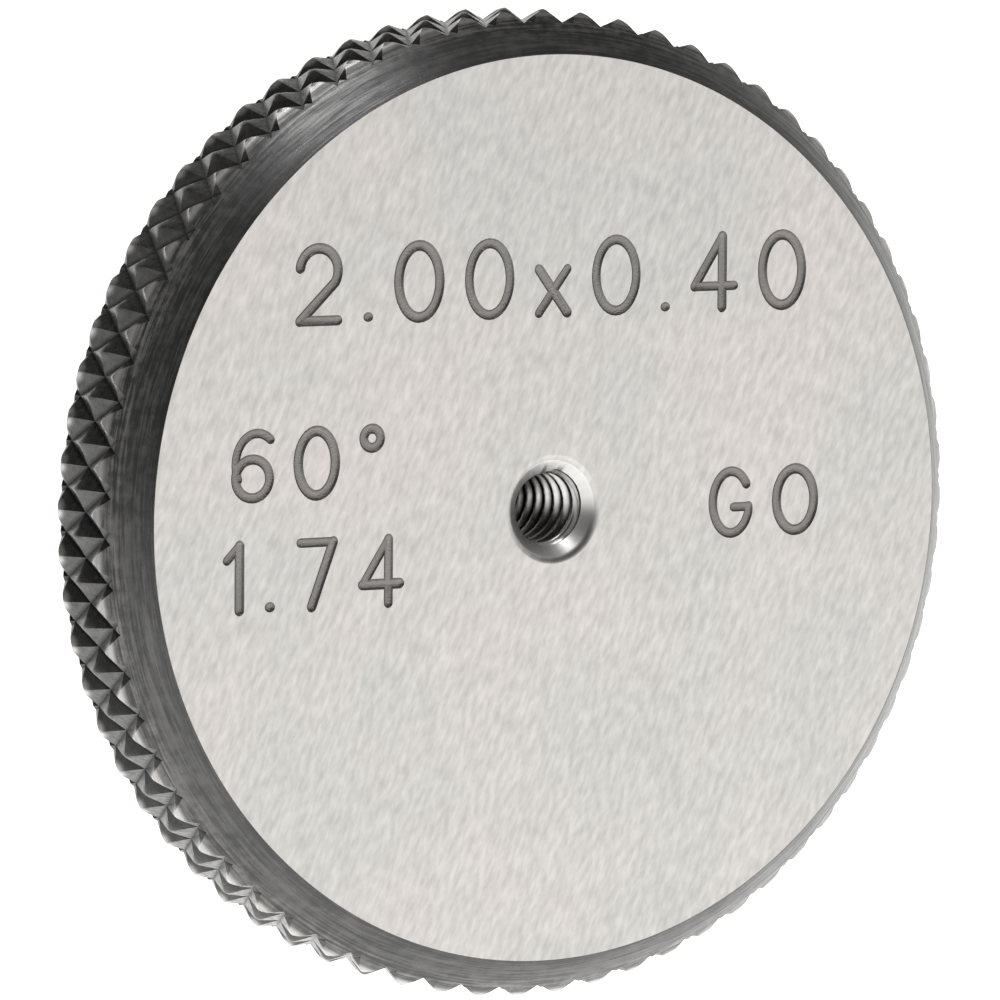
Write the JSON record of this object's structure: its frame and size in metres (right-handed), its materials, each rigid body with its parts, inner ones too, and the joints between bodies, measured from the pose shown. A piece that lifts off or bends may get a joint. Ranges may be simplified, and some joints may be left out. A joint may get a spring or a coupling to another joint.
{
  "type": "thread ring gauge",
  "caption": "Small one-piece steel disc with a diamond-knurled rim, chamfered edges and a countersunk threaded hole through its middle, for checking screw threads.",
  "frame": {"origin": "centre of the back face, on the axis of the threaded hole", "axes": "+Z along the thread's axis, out of the marked face; +X along the lettering, left to right; +Y towards the top of the lettering"},
  "size_m": [0.022, 0.022, 0.0037],
  "materials": {
    "gauge_steel": "ground faces, turned and knurled rim"
  },
  "bodies": {
    "root": {"ring_gauge": "gauge_steel"}
  },
  "joints": []
}
